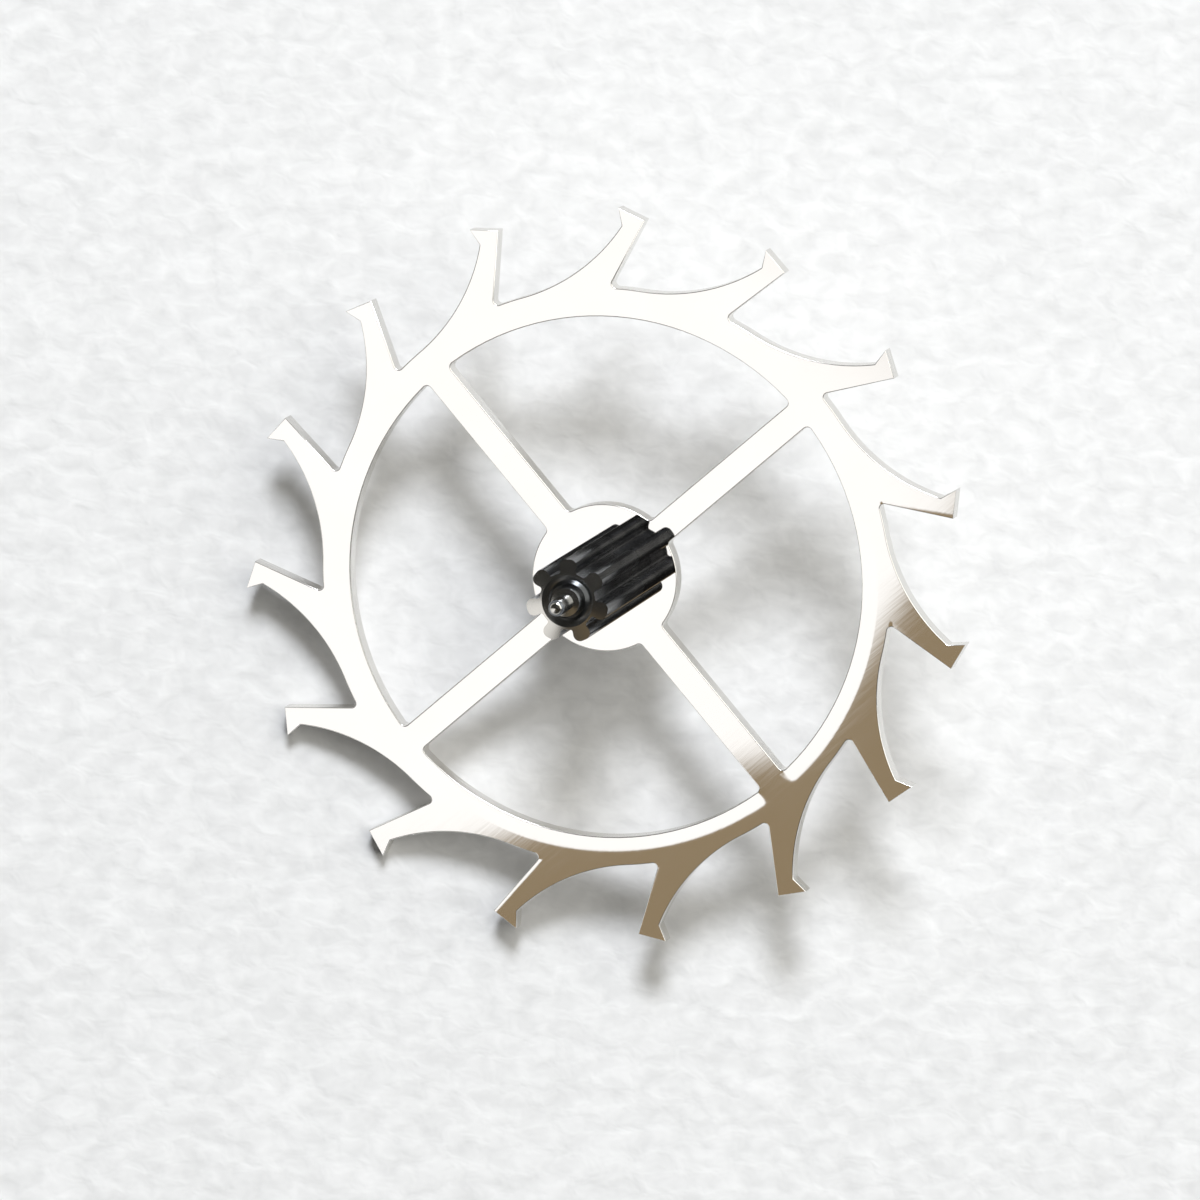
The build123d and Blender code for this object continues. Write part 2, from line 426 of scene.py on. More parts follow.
# %% [markdown]
# ## Colours
# Colours are written as the hex values that a paint program shows. Blender's sockets want linear light,
# so one function turns each hex value once.

# %% Hex to linear colour
BACKDROP_WHITE = "F4F4F3"


def hex_colour(code):
    """sRGB hex, such as F4F4F3, to a linear colour with full alpha."""
    shown = [int(code[k : k + 2], 16) / 255 for k in (0, 2, 4)]
    return [v / 12.92 if v <= 0.04045 else ((v + 0.055) / 1.055) ** 2.4 for v in shown] + [1.0]


print("backdrop white", [round(v, 3) for v in hex_colour(BACKDROP_WHITE)])

# %% [markdown]
# ## Where patterns are measured
# Every pattern and mask reads the piece's own coordinates, turned to millimetres, so the scale of a
# pattern is a real size. Both steels read two more measures: how far a point is from the arbor, and how
# far its surface faces along it. These tell rim from hub, and lapped faces from cut walls.

# %% A fresh material, and the measures about the arbor
def new_material(name):
    """A material, its tree, and the place on the piece in millimetres as the tree's first nodes."""
    material = bpy.data.materials.new(name)
    material.use_nodes = True
    tree = material.node_tree
    tree.nodes.clear()
    place = add_node(tree, "ShaderNodeTexCoord").outputs["Object"]
    in_mm = add_node(tree, "ShaderNodeMapping", {"Vector": place, "Scale": [1 / MILLIMETRE] * 3})
    return material, tree, in_mm


def about_arbor(tree, in_mm):
    """Distance of a place from the arbor, and how far the surface there faces along it."""
    in_plane = add_node(tree, "ShaderNodeVectorMath", {0: in_mm, 1: (1.0, 1.0, 0.0)}, operation="MULTIPLY")
    distance = add_node(tree, "ShaderNodeVectorMath", {0: in_plane}, operation="LENGTH")
    normal = add_node(tree, "ShaderNodeTexCoord").outputs["Normal"]
    facing = add_node(tree, "ShaderNodeSeparateXYZ", {"Vector": normal}).outputs["Z"]
    return distance, facing


print("material helpers ready")

# %% [markdown]
# ## Hardened steel, flat polished
# The wheel plate is hardened carbon steel. Its upper face is lapped flat on tin and stays a mirror: it is
# white where it faces the lit side of the room and brown where it faces the dim side. The walls are left
# as the cutter made them, with fine strokes along the outline and a duller shine. One material does both,
# because it is one piece of steel: the direction of the surface says which finish it has.
# Where the lap leaned a little harder, on one side of the wheel, it ran over the rim's inner edge and over
# the locking faces of the teeth. Those soft bands lean less than a degree, but a mirror doubles every lean,
# so they stay white there.

# %% Where the lap rolled the surface off
RIM_ROLL_OFF_WIDTH = 0.115
TOOTH_ROLL_OFF_WIDTH = 0.034
TOOTH_ROLL_OFF_SHARE = 0.42
ROLL_OFF_DROP = 0.0009
RIM_MARGIN = 0.002

# the band along the rim fades out between these shares of a crossing's half width
CROSSING_INNER_SHARE = 0.6
CROSSING_OUTER_SHARE = 1.6

# a tooth takes this share of its pitch before its locking corner
BEFORE_CORNER_SHARE = 0.2

# places along Y: the lap began to lean here, and leaned fully further out
LAP_LEANS_FROM = -0.3
LAP_LEANS_FULLY = -0.8


def rim_roll_off(tree, in_mm, distance):
    """Share of the roll-off along the rim's inner edge, left out where a crossing meets the rim."""
    band_outside = RIM_INNER_RADIUS + RIM_ROLL_OFF_WIDTH
    into_band = {"Value": distance, "From Min": band_outside, "From Max": RIM_INNER_RADIUS}
    band = add_node(tree, "ShaderNodeMapRange", into_band)
    beyond = {0: distance, 1: RIM_INNER_RADIUS - RIM_MARGIN}
    on_rim = add_node(tree, "ShaderNodeMath", beyond, operation="GREATER_THAN")
    beside_axes = add_node(tree, "ShaderNodeVectorMath", {0: in_mm}, operation="ABSOLUTE")
    sides = add_node(tree, "ShaderNodeSeparateXYZ", {"Vector": beside_axes}).outputs
    off_crossing = add_node(tree, "ShaderNodeMath", {0: sides["X"], 1: sides["Y"]}, operation="MINIMUM")
    inner_side = CROSSING_INNER_SHARE * CROSSING_WIDTH / 2
    outer_side = CROSSING_OUTER_SHARE * CROSSING_WIDTH / 2
    beside = {"Value": off_crossing, "From Min": inner_side, "From Max": outer_side}
    beside_crossing = add_node(tree, "ShaderNodeMapRange", beside, interpolation_type="SMOOTHSTEP")
    of_window = add_node(tree, "ShaderNodeMath", {0: on_rim, 1: beside_crossing}, operation="MULTIPLY")
    return add_node(tree, "ShaderNodeMath", {0: band, 1: of_window}, operation="MULTIPLY")


def tooth_roll_off(tree, in_mm, distance):
    """Share of the roll-off along the locking faces, with every tooth turned to the place of one."""
    flat_place = add_node(tree, "ShaderNodeSeparateXYZ", {"Vector": in_mm}).outputs
    bearing = add_node(tree, "ShaderNodeMath", {0: flat_place["Y"], 1: flat_place["X"]}, operation="ARCTAN2")
    first_corner = radians(FIRST_HEEL_ANGLE - IMPULSE_FACE_ANGLE)
    pitch, undercut = 2 * pi / TOOTH_COUNT, radians(LOCKING_UNDERCUT_ANGLE)
    from_corner = add_node(tree, "ShaderNodeMath", {0: bearing, 1: first_corner}, operation="SUBTRACT")
    one_pitch = {0: from_corner, 1: (1 - BEFORE_CORNER_SHARE) * pitch, 2: -BEFORE_CORNER_SHARE * pitch}
    one_tooth = add_node(tree, "ShaderNodeMath", one_pitch, operation="WRAP")
    turned = add_node(tree, "ShaderNodeMath", {0: one_tooth, 1: undercut}, operation="ADD")
    sideways = add_node(tree, "ShaderNodeMath", {0: turned}, operation="SINE")
    from_face = {0: distance, 1: sideways, 2: -LOCKING_CORNER_RADIUS * sin(undercut)}
    behind_face = add_node(tree, "ShaderNodeMath", from_face, operation="MULTIPLY_ADD")
    into_band = {"Value": behind_face, "From Min": TOOTH_ROLL_OFF_WIDTH, "From Max": 0.0}
    band = add_node(tree, "ShaderNodeMapRange", into_band)
    clear_of_foot = TOOTH_FOOT_RADIUS + TOOTH_ROLL_OFF_WIDTH
    above_foot = {"Value": distance, "From Min": TOOTH_FOOT_RADIUS, "From Max": clear_of_foot}
    above_foot["To Max"] = TOOTH_ROLL_OFF_SHARE
    on_tooth = add_node(tree, "ShaderNodeMapRange", above_foot, interpolation_type="SMOOTHSTEP")
    return add_node(tree, "ShaderNodeMath", {0: band, 1: on_tooth}, operation="MULTIPLY")


def rolled_off(tree, in_mm, distance):
    """Bump of both bands on the side where the lap leaned."""
    shares = {0: rim_roll_off(tree, in_mm, distance), 1: tooth_roll_off(tree, in_mm, distance)}
    into_any = add_node(tree, "ShaderNodeMath", shares, operation="MAXIMUM")
    towards_lap = add_node(tree, "ShaderNodeSeparateXYZ", {"Vector": in_mm}).outputs["Y"]
    leant_on = {"Value": towards_lap, "From Min": LAP_LEANS_FROM, "From Max": LAP_LEANS_FULLY}
    under_lap = add_node(tree, "ShaderNodeMapRange", leant_on, interpolation_type="SMOOTHSTEP")
    share = add_node(tree, "ShaderNodeMath", {0: into_any, 1: under_lap}, operation="MULTIPLY")

    # height falls with the square of the way into a band, so the band starts without a crease
    drop = add_node(tree, "ShaderNodeMath", {0: share, 1: 2.0}, operation="POWER")
    fall = {"Height": drop, "Distance": ROLL_OFF_DROP * MILLIMETRE}
    return add_node(tree, "ShaderNodeBump", fall, invert=True)


print("the roll-off drops", ROLL_OFF_DROP, "mm over", RIM_ROLL_OFF_WIDTH, "mm of the rim")

# %% Steel of the wheel
# lapping hair lines are a few thousandths of a millimetre wide, and are drawn 0.02 mm apart to show at all;
# the cutter's strokes run along the outline, so they lie one above the other, 0.015 mm apart
HAIRS_PER_MM = (3.0, 50.0, 3.0)
HAIR_DIRECTION = radians(24)
HAIR_HEIGHT = 0.000006
STROKES_PER_MM = (1.5, 1.5, 66.0)
STROKE_HEIGHT = 0.0008
CLOUDS_PER_MM = 2.2
LAPPED_ROUGHNESS = (0.018, 0.028)
CUT_ROUGHNESS = (0.2, 0.28)
LAPPED_WHITE = hex_colour("F1EFEC")
LAPPED_WARM = hex_colour("EEEAE5")
CUT_GREY = hex_colour("E0DEDA")


def polished_wheel_steel():
    """Mirror-lapped faces, cut walls, and the soft roll-off along rim and teeth."""
    material, tree, in_mm = new_material("hardened_steel_flat_lapped")
    distance, facing = about_arbor(tree, in_mm)
    level = add_node(tree, "ShaderNodeMath", {0: facing}, operation="ABSOLUTE")
    flat = add_node(tree, "ShaderNodeMapRange", {"Value": level, "From Min": 0.9, "From Max": 0.985})

    along_hairs = {"Vector": in_mm, "Rotation": (0, 0, HAIR_DIRECTION), "Scale": HAIRS_PER_MM}
    stretched = add_node(tree, "ShaderNodeMapping", along_hairs)
    fine = {"Scale": 1.0, "Detail": 2.0, "Roughness": 0.6}
    hairs = add_node(tree, "ShaderNodeTexNoise", {"Vector": stretched} | fine)
    layers = add_node(tree, "ShaderNodeMapping", {"Vector": in_mm, "Scale": STROKES_PER_MM})
    strokes = add_node(tree, "ShaderNodeTexNoise", {"Vector": layers} | fine)
    clouds = add_node(tree, "ShaderNodeTexNoise", {"Vector": in_mm, "Scale": CLOUDS_PER_MM, "Detail": 3.0})

    sheen = {"From Min": 0.3, "From Max": 0.75, "To Min": LAPPED_ROUGHNESS[0], "To Max": LAPPED_ROUGHNESS[1]}
    lapped = add_node(tree, "ShaderNodeMapRange", {"Value": hairs} | sheen)
    dull = {"From Min": 0.3, "From Max": 0.7, "To Min": CUT_ROUGHNESS[0], "To Max": CUT_ROUGHNESS[1]}
    cut = add_node(tree, "ShaderNodeMapRange", {"Value": strokes} | dull)
    rough = add_node(tree, "ShaderNodeMix", {"Factor": flat, "A": cut, "B": lapped}, data_type="FLOAT")
    tones = {"Factor": clouds, "A": LAPPED_WHITE, "B": LAPPED_WARM}
    tone = add_node(tree, "ShaderNodeMix", tones, data_type="RGBA")
    colour = add_node(tree, "ShaderNodeMix", {"Factor": flat, "A": CUT_GREY, "B": tone}, data_type="RGBA")

    rolled = rolled_off(tree, in_mm, distance)
    off_flat = add_node(tree, "ShaderNodeMath", {0: 1.0, 1: flat}, operation="SUBTRACT")
    on_walls = add_node(tree, "ShaderNodeMath", {0: strokes, 1: off_flat}, operation="MULTIPLY")
    stroke = {"Height": on_walls, "Distance": STROKE_HEIGHT * MILLIMETRE, "Normal": rolled}
    stroked = add_node(tree, "ShaderNodeBump", stroke)
    hair = {"Height": hairs, "Distance": HAIR_HEIGHT * MILLIMETRE, "Normal": stroked}
    haired = add_node(tree, "ShaderNodeBump", hair)

    steel = {"Base Color": colour, "Roughness": rough, "Normal": haired, "Metallic": 1.0}
    surface = add_node(tree, "ShaderNodeBsdfPrincipled", steel)
    add_node(tree, "ShaderNodeOutputMaterial", {"Surface": surface})
    return material


wheel_steel = polished_wheel_steel()
print("material", wheel_steel.name, "with", len(wheel_steel.node_tree.nodes), "nodes")

# %% [markdown]
# ## Burnished pinion steel, with painted shade and painted glints
# The leaves are cut with a formed cutter and burnished lengthwise with a hardwood lap, so the fine lines
# run along the arbor. They stand on the mirror of the hub, and wall and mirror together send the view
# back to the dark camera; besides, the flanks are painted far darker than steel is, as painted shade. So
# the pinion looks almost black from above. The end faces fall off outwards, as the file that broke their
# edges left them. Their chamfers are polished, and painted lighter than steel is, as painted glints.

# %% Steel of the pinion
# burnishing lines are finer than this; they are drawn 0.02 mm apart, which the lens can just part
LINES_PER_MM = (45.0, 45.0, 1.5)
LINE_HEIGHT = 0.0002
PATCHES_PER_MM = 4.0
END_CONE_SLOPE = 0.2
BURNISHED_ROUGHNESS = (0.17, 0.23)
CHAMFER_ROUGHNESS = 0.12
END_ROUGHNESS = 0.2
# painted shade: the flanks are far darker than steel is, with tones that vary at random in patches
FLANK_PAINTED_SHADE_BLUE = hex_colour("6C7076")
FLANK_PAINTED_SHADE_GREY = hex_colour("646668")
# painted glint: the polished chamfers are painted lighter than steel is
CHAMFER_PAINTED_GLINT = hex_colour("E3DFD8")
END_GREY = hex_colour("D2CFC9")


def pinion_steel_with_painted_shade():
    """Flanks painted dark as painted shade, duller end faces that fall off outwards, and polished chamfers
    painted light as painted glints.
    """
    material, tree, in_mm = new_material("hardened_steel_burnished_painted_shade")
    distance, facing = about_arbor(tree, in_mm)
    end_face = add_node(tree, "ShaderNodeMapRange", {"Value": facing, "From Min": 0.8, "From Max": 0.95})
    slanting = add_node(tree, "ShaderNodeMapRange", {"Value": facing, "From Min": 0.3, "From Max": 0.6})
    on_leaf = add_node(tree, "ShaderNodeMath", {0: distance, 1: LEAF_PITCH_RADIUS}, operation="GREATER_THAN")
    # the chamfer mask makes the chamfers smoother, and paints them light as painted glints
    chamfer = add_node(tree, "ShaderNodeMath", {0: slanting, 1: on_leaf}, operation="MULTIPLY")

    lengthwise = add_node(tree, "ShaderNodeMapping", {"Vector": in_mm, "Scale": LINES_PER_MM})
    fine = {"Scale": 1.0, "Detail": 1.0, "Roughness": 0.5}
    lines = add_node(tree, "ShaderNodeTexNoise", {"Vector": lengthwise} | fine)
    patches = add_node(tree, "ShaderNodeTexNoise", {"Vector": in_mm, "Scale": PATCHES_PER_MM, "Detail": 2.0})

    least, most = BURNISHED_ROUGHNESS
    sheen = {"From Min": 0.3, "From Max": 0.7, "To Min": least, "To Max": most}
    rubbed = add_node(tree, "ShaderNodeMapRange", {"Value": patches} | sheen)
    edge_rough = {"Factor": chamfer, "A": rubbed, "B": CHAMFER_ROUGHNESS}
    chamfered = add_node(tree, "ShaderNodeMix", edge_rough, data_type="FLOAT")
    end_rough = {"Factor": end_face, "A": chamfered, "B": END_ROUGHNESS}
    rough = add_node(tree, "ShaderNodeMix", end_rough, data_type="FLOAT")
    # the flanks get their painted shade here, the chamfers their painted glints, the end faces a paler grey
    tones = {"Factor": patches, "A": FLANK_PAINTED_SHADE_BLUE, "B": FLANK_PAINTED_SHADE_GREY}
    flanks = add_node(tree, "ShaderNodeMix", tones, data_type="RGBA")
    painted_glint = {"Factor": chamfer, "A": flanks, "B": CHAMFER_PAINTED_GLINT}
    edges = add_node(tree, "ShaderNodeMix", painted_glint, data_type="RGBA")
    ground = {"Factor": end_face, "A": edges, "B": END_GREY}
    colour = add_node(tree, "ShaderNodeMix", ground, data_type="RGBA")

    fall = add_node(tree, "ShaderNodeMath", {0: distance, 1: end_face}, operation="MULTIPLY")
    cone = {"Height": fall, "Distance": END_CONE_SLOPE * MILLIMETRE}
    coned = add_node(tree, "ShaderNodeBump", cone, invert=True)
    beside_end = add_node(tree, "ShaderNodeMath", {0: 1.0, 1: end_face}, operation="SUBTRACT")
    on_flanks = add_node(tree, "ShaderNodeMath", {0: lines, 1: beside_end}, operation="MULTIPLY")
    line = {"Height": on_flanks, "Distance": LINE_HEIGHT * MILLIMETRE, "Normal": coned}
    lined = add_node(tree, "ShaderNodeBump", line)

    steel = {"Base Color": colour, "Roughness": rough, "Normal": lined, "Metallic": 1.0}
    surface = add_node(tree, "ShaderNodeBsdfPrincipled", steel)
    add_node(tree, "ShaderNodeOutputMaterial", {"Surface": surface})
    return material


pinion_steel = pinion_steel_with_painted_shade()
print("material", pinion_steel.name, "with", len(pinion_steel.node_tree.nodes), "nodes")

# %% [markdown]
# ## The plate grows
# The tree is put together from the helpers: fifteen teeth, four windows and the bore become one closed
# plate. Counts, heights and the number of points are named inputs of the tree, so they stand in one list.

# %% Tree of the plate
POINTS_ROUND = 96

plate_sizes = {
    "Teeth": TOOTH_COUNT,
    "Crossings": CROSSING_COUNT,
    "Points on an arc": 28,
    "Points round the bore": POINTS_ROUND,
    "Bore radius": SEAT_RADIUS,
    "Plate thickness": WHEEL_THICKNESS,
    "Edge rounding": EDGE_ROUNDING,
    "Bottom height": WHEEL_BOTTOM,
}


def grow_plate(name):
    """The wheel plate as one closed mesh."""
    tree, size = new_tree("club_tooth_plate", plate_sizes)
    steps = size["Points on an arc"]
    teeth = repeat_round(tree, draw_outline(tree, tooth, steps), size["Teeth"])
    windows = repeat_round(tree, draw_outline(tree, window, steps), size["Crossings"])
    circle = {"Resolution": size["Points round the bore"], "Radius": size["Bore radius"]}
    bore = add_node(tree, "GeometryNodeCurvePrimitiveCircle", circle)
    outlines = join(tree, teeth, windows, bore)
    plate = fill_and_raise(tree, outlines, size["Plate thickness"], size["Edge rounding"])
    lift = add_node(tree, "ShaderNodeCombineXYZ", {"Z": size["Bottom height"]})
    lifted = add_node(tree, "GeometryNodeSetPosition", {"Geometry": plate, "Offset": lift})
    end_tree(tree, lifted, wheel_steel)
    return grow_piece(name, tree, plate_sizes, wheel_steel)


wheel = grow_plate("wheel_plate")
print("wheel plate:", len(wheel.data.vertices), "points,", len(wheel.data.polygons), "faces")

# %% [markdown]
# ## The outline of one leaf
# A leaf of the pinion has straight flanks that point at the arbor, two short arcs that close in towards
# the tip, a narrow land at the tip and small fillets at its foot. Seven leaves stand round the arbor.

# %% One leaf and the gap after it
def leaf_outline(leaf_angle):
    """Lines and arcs of one leaf and the gap after it, going anticlockwise."""
    half_flank = arc_angle(LEAF_THICKNESS, 2 * LEAF_PITCH_RADIUS)
    half_land = arc_angle(LEAF_TIP_LAND, 2 * LEAF_TIP_RADIUS)
    low, high = leaf_angle - half_flank, leaf_angle + half_flank
    low_land, high_land = leaf_angle - half_land, leaf_angle + half_land
    next_low = low + 360 / LEAF_COUNT
    low_pitch, high_pitch = polar(LEAF_PITCH_RADIUS, low), polar(LEAF_PITCH_RADIUS, high)
    low_tip, high_tip = polar(LEAF_TIP_RADIUS, low_land), polar(LEAF_TIP_RADIUS, high_land)

    # a fillet touches the flank and the root circle, so its centre lies one radius off both
    reach = LEAF_ROOT_RADIUS + LEAF_FILLET_RADIUS
    turn = degrees(asin(LEAF_FILLET_RADIUS / reach))
    on_flank = sqrt(reach**2 - LEAF_FILLET_RADIUS**2)
    high_root, next_root = high + turn, next_low - turn
    high_fillet = (polar(on_flank, high), polar(LEAF_ROOT_RADIUS, high_root))
    next_fillet = (polar(LEAF_ROOT_RADIUS, next_root), polar(on_flank, next_low))
    return [
        ("line", polar(on_flank, low), low_pitch),
        tangent_arc(low_pitch, low_tip, low_pitch),
        round_arc(LEAF_TIP_RADIUS, low_land, high_land),
        tangent_arc(high_pitch, high_tip, high_pitch),
        ("line", high_pitch, polar(on_flank, high)),
        short_arc(polar(reach, high_root), *high_fillet),
        round_arc(LEAF_ROOT_RADIUS, high_root, next_root),
        short_arc(polar(reach, next_root), *next_fillet),
    ]


leaf = leaf_outline(FIRST_LEAF_ANGLE)
print("leaf outline:", [(piece[0], round((piece[-1] - piece[1]).length, 3)) for piece in leaf])

# %% [markdown]
# ## The turned parts
# Pivots, shoulders, arbor, rivet lip and seat come off the lathe. A lathe is a half outline carried once
# round the arbor, and Curve to Mesh does exactly that with a circle as the path. The half outline is a
# chain of radius and height, and the pivot ends are rounded by a few points on a quarter circle.
# Two more half outlines are the cutters that chamfer and hollow the free end of the leaves.

# %% Half outlines as radius and height
PIVOT_END_STEPS = 6
CUT_OVERRUN = 0.05


def quarter_round(radius, height, corner, upward):
    """Points of a rounded end: from its flat to its side at the lower end, and back at the upper one."""
    angles = [k * pi / (2 * PIVOT_END_STEPS) for k in range(PIVOT_END_STEPS + 1)]
    ring = [(radius - corner + corner * sin(a), height + upward * (corner * cos(a) - corner)) for a in angles]
    return ring if upward < 0 else ring[::-1]


rivet_edge = WHEEL_BOTTOM - RIVET_EDGE_HEIGHT
recess_floor = LEAF_TOP - END_RECESS_DEPTH
chamfer_start = LEAF_TOP - LEAF_END_CHAMFER
upper_end = UPPER_SHOULDER + PIVOT_LENGTH
spindle_outline = [
    (0, -PIVOT_LENGTH),
    *quarter_round(PIVOT_RADIUS, -PIVOT_LENGTH, PIVOT_END_RADIUS, -1),
    (PIVOT_RADIUS, 0),
    (SHOULDER_RADIUS, 0),
    (LOWER_ARBOR_RADIUS, SHOULDER_CONE_LENGTH),
    (LOWER_ARBOR_RADIUS, rivet_edge - RIVET_CONE_HEIGHT),
    (RIVET_RADIUS, rivet_edge),
    (RIVET_RADIUS, WHEEL_BOTTOM),
    (SEAT_RADIUS, WHEEL_BOTTOM),
    (SEAT_RADIUS, recess_floor),
    (UPPER_ARBOR_RADIUS, recess_floor),
    (UPPER_ARBOR_RADIUS, UPPER_SHOULDER - SHOULDER_CONE_LENGTH),
    (SHOULDER_RADIUS, UPPER_SHOULDER),
    (PIVOT_RADIUS, UPPER_SHOULDER),
    *quarter_round(PIVOT_RADIUS, upper_end, PIVOT_END_RADIUS, 1),
    (0, upper_end),
]
chamfer_cutter = [
    (LEAF_TIP_RADIUS - LEAF_END_CHAMFER - CUT_OVERRUN, LEAF_TOP + CUT_OVERRUN),
    (LEAF_TIP_RADIUS + CUT_OVERRUN, chamfer_start - CUT_OVERRUN),
    (LEAF_TIP_RADIUS + CUT_OVERRUN, LEAF_TOP + CUT_OVERRUN),
    (LEAF_TIP_RADIUS - LEAF_END_CHAMFER - CUT_OVERRUN, LEAF_TOP + CUT_OVERRUN),
]
hollow_cutter = [
    (0, recess_floor),
    (UPPER_ARBOR_RADIUS, recess_floor),
    (END_RECESS_RADIUS, LEAF_TOP),
    (END_RECESS_RADIUS, LEAF_TOP + CUT_OVERRUN),
    (0, LEAF_TOP + CUT_OVERRUN),
]
print("spindle outline:", len(spindle_outline), "points from", -PIVOT_LENGTH, "to", round(upper_end, 3), "mm")

# %% Tree of the pinion
LATHE_PATH_RADIUS = 1.0

pinion_sizes = {
    "Leaves": LEAF_COUNT,
    "Points on an arc": 9,
    "Points round the lathe": POINTS_ROUND,
    "Leaf length": LEAF_LENGTH,
    "Leaf foot height": WHEEL_TOP,
}


def turn_on_lathe(tree, outline, points_round):
    """Carries a half outline of radius and height once round the arbor and closes it on the axis."""
    circle = {"Resolution": points_round, "Radius": LATHE_PATH_RADIUS}
    path = add_node(tree, "GeometryNodeCurvePrimitiveCircle", circle)
    upright = add_node(tree, "GeometryNodeSetCurveNormal", {"Curve": path}, mode="Z_UP")

    # Curve to Mesh measures a profile from the path and looks at it upside down
    profile = [(radius - LATHE_PATH_RADIUS, -height, 0) for radius, height in outline]
    sides = [{"Start": start, "End": end} for start, end in zip(profile, profile[1:])]
    lines = [add_node(tree, "GeometryNodeCurvePrimitiveLine", side, mode="POINTS") for side in sides]
    wire = add_node(tree, "GeometryNodeCurveToMesh", {"Curve": join(tree, *lines)})
    weld = add_node(tree, "GeometryNodeMergeByDistance", {"Geometry": wire, "Distance": SOLID_WELD})
    half = add_node(tree, "GeometryNodeMeshToCurve", {"Mesh": weld})
    shell = add_node(tree, "GeometryNodeCurveToMesh", {"Curve": upright, "Profile Curve": half})
    return add_node(tree, "GeometryNodeMergeByDistance", {"Geometry": shell, "Distance": SOLID_WELD})


def grow_pinion(name):
    """Leaves and spindle as one closed mesh, with the free end chamfered and hollowed."""
    tree, size = new_tree("leaves_on_arbor", pinion_sizes)
    points_round = size["Points round the lathe"]
    leaves = repeat_round(tree, draw_outline(tree, leaf, size["Points on an arc"]), size["Leaves"])
    prism = fill_and_raise(tree, leaves, size["Leaf length"])
    lift = add_node(tree, "ShaderNodeCombineXYZ", {"Z": size["Leaf foot height"]})
    standing = add_node(tree, "GeometryNodeSetPosition", {"Geometry": prism, "Offset": lift})
    uncut = {"Mesh 1": standing}
    ended = add_node(tree, "GeometryNodeMeshBoolean", uncut, operation="DIFFERENCE", solver="EXACT")
    for cutter in (chamfer_cutter, hollow_cutter):
        tree.links.new(turn_on_lathe(tree, cutter, points_round).outputs[0], ended.inputs["Mesh 2"])
    united = add_node(tree, "GeometryNodeMeshBoolean", operation="UNION", solver="EXACT")
    for solid in (ended, turn_on_lathe(tree, spindle_outline, points_round)):
        tree.links.new(solid.outputs[0], united.inputs["Mesh 2"])
    end_tree(tree, united, pinion_steel)
    return grow_piece(name, tree, pinion_sizes, pinion_steel)


pinion = grow_pinion("pinion_and_arbor")
print("pinion:", len(pinion.data.vertices), "points,", len(pinion.data.polygons), "faces")

# %% [markdown]
# ## Smooth and sharp
# Turned and drawn surfaces are shaded smooth, and every edge that a finger would feel stays sharp. On the
# plate the short steps of the rounded edge are smoothed among themselves only: if they shared their
# shading with the flat face, the whole mirror would look domed. How far a face looks up tells them apart:
# nothing for a wall, one for a flat face, and something between for a step.

# %% Shade the pinion by angle, and the plate by the kind of face
SHARP_ANGLE = radians(14)
WALL_LOOKS_UP = 0.02
FLAT_LOOKS_UP = 0.999
STEPS_DIFFER = 0.1


def shade_plate(piece):
    """Smooths walls and edge steps along the outline, and keeps the flat faces flat."""
    piece.data.shade_smooth()
    shape = bmesh.new()
    shape.from_mesh(piece.data)
    for edge in shape.edges:
        looks_up = sorted(abs(face.normal.z) for face in edge.link_faces)
        less, more = looks_up[0], looks_up[-1]
        along_outline = more - less < WALL_LOOKS_UP and edge.calc_face_angle(0) < SHARP_ANGLE
        between_steps = less > WALL_LOOKS_UP and more < FLAT_LOOKS_UP and more - less > STEPS_DIFFER
        edge.smooth = along_outline or between_steps
    open_edges = sum(1 for edge in shape.edges if len(edge.link_faces) != 2)
    shape.to_mesh(piece.data)
    shape.free()
    return open_edges


print("plate: open edges", shade_plate(wheel))
pinion.data.shade_smooth()
pinion.data.set_sharp_from_angle(angle=SHARP_ANGLE)

# %% [markdown]
# ## The sheet of paper
# The wheel lies on smooth white paper. A pulp sheet is never quite flat: its fibres make soft bumps about
# a seventh of a millimetre across. The sheet touches the tip of the lower pivot and two teeth, so it
# slopes under the wheel. A plane with a procedural bump gives this, with no picture.

# %% Paper
PAPER_SIDE = 100.0
PAPER_SLOPE = radians(16.49)
PAPER_RISES_TOWARDS = radians(179.0)
FIBRES_PER_MM = (6.0, 8.0, 7.0)
FIBRE_HEIGHT = 0.008
PAPER_CLOUDS_PER_MM = 0.5
CLOUD_SHARE = 0.2
FIBRE_SHADE = hex_colour("D7D7D7")
FIBRE_WHITE = hex_colour("FFFFFF")
CLOUD_SHADE = hex_colour("EDEDED")
CLOUD_WHITE = hex_colour("F8F8F8")


